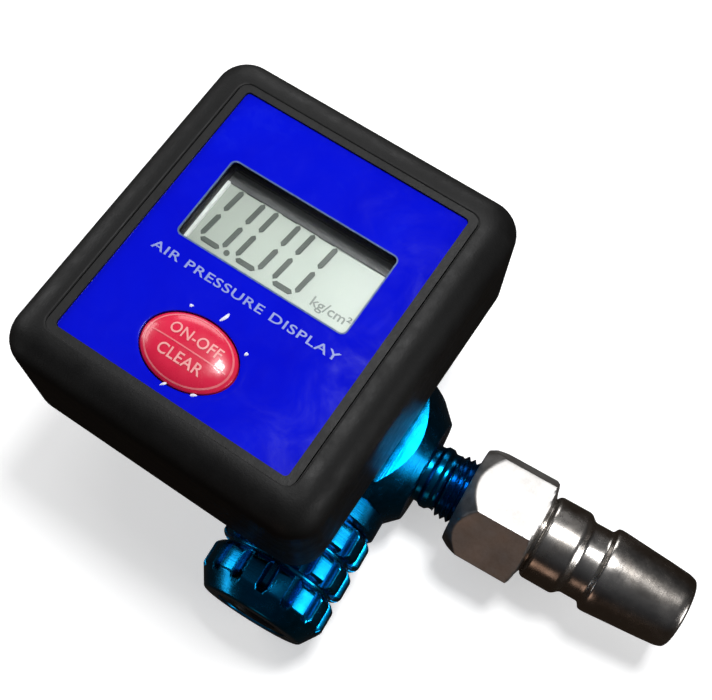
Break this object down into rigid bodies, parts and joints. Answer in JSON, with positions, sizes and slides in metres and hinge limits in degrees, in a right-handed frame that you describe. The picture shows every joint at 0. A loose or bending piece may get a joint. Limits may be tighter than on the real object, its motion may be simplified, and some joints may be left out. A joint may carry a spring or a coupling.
{
  "type": "in-line air pressure regulator with digital gauge",
  "caption": "Small in-line compressed-air regulator: blue anodised body and ribbed adjusting knob, square digital pressure gauge in a black boot, steel quick plug inlet and swivel nut outlet.",
  "frame": {"origin": "centre of the outlet mouth, on the axis of the air line", "axes": "+X along the air line from the outlet mouth to the inlet plug, +Z out of the gauge face, the adjusting knob points along -Y"},
  "size_m": [0.089, 0.0587, 0.0424],
  "materials": {
    "boot_rubber": "satin, fine grain",
    "case_plastic": "matte",
    "steel": "satin nickel",
    "label_blue": "glossy printed film",
    "clear_lens": "clear",
    "lcd_glass": "grey-green reflective display",
    "lcd_ink": "dark segments",
    "seal_rubber": "matte",
    "board_green": "solder mask",
    "chip_black": "matte",
    "button_red": "glossy",
    "spring_steel": "bright",
    "brass": "machined",
    "blue_aluminium": "bright anodised blue",
    "seat_plastic": "matte"
  },
  "bodies": {
    "regulator": {"regulator_body": "blue_aluminium", "bonnet": "blue_aluminium", "bonnet_o_ring": "seal_rubber", "valve_seat": "seat_plastic", "valve_plug": "blue_aluminium", "poppet_spring": "spring_steel", "inlet_nipple": "blue_aluminium", "plug_seal": "seal_rubber", "quick_plug": "steel", "outlet_nipple": "blue_aluminium", "nut_ring": "spring_steel", "outlet_washer": "seal_rubber", "protective_boot": "boot_rubber", "gauge_case_front": "case_plastic", "gauge_case_rear": "case_plastic", "case_screws": "steel", "face_label": "label_blue", "window_lens": "clear_lens", "display_frame": "case_plastic", "display_panel": "lcd_glass", "contact_strip": "seal_rubber", "display_digits": "lcd_ink", "circuit_board": "board_green", "board_chip": "chip_black", "dome_switch": "spring_steel", "coin_battery": "steel", "battery_holder": "case_plastic", "pressure_sensor": "spring_steel", "sensor_o_ring": "seal_rubber", "gauge_stem": "brass", "stem_washer": "brass"},
    "knob": {"adjusting_knob": "blue_aluminium", "knob_cap": "chip_black", "adjusting_screw": "brass"},
    "seat": {"spring_seat": "brass", "range_spring": "spring_steel"},
    "piston": {"piston": "brass", "piston_seal": "seal_rubber", "valve_poppet": "brass"},
    "button": {"button_cap": "button_red"},
    "nut": {"swivel_nut": "steel"}
  },
  "joints": [
    {"name": "knob_turn", "type": "hinge", "parent": "regulator", "child": "knob", "pos_m": [0.0388, -0.02, 0], "axis": [0, 1, 0], "range_deg": [-720, 720]},
    {"name": "seat_travel", "type": "slide", "parent": "regulator", "child": "seat", "axis": [0, 1, 0], "range_m": [-0.002, 0.002], "deforming": ["range_spring"]},
    {"name": "piston_travel", "type": "slide", "parent": "regulator", "child": "piston", "axis": [0, 1, 0], "range_m": [-0.00055, 0.00055], "deforming": ["poppet_spring"]},
    {"name": "button_press", "type": "slide", "parent": "regulator", "child": "button", "axis": [0, 0, -1], "range_m": [0, 0.0006], "stiffness_N_per_m": 500},
    {"name": "nut_spin", "type": "hinge", "parent": "regulator", "child": "nut", "pos_m": [0.005, 0, 0], "axis": [1, 0, 0], "continuous": true}
  ],
  "couplings": [
    {"joint": "knob_turn", "follows": "seat_travel", "rad_per_m": 6283},
    {"joint": "piston_travel", "follows": "seat_travel", "ratio": 0.25}
  ]
}
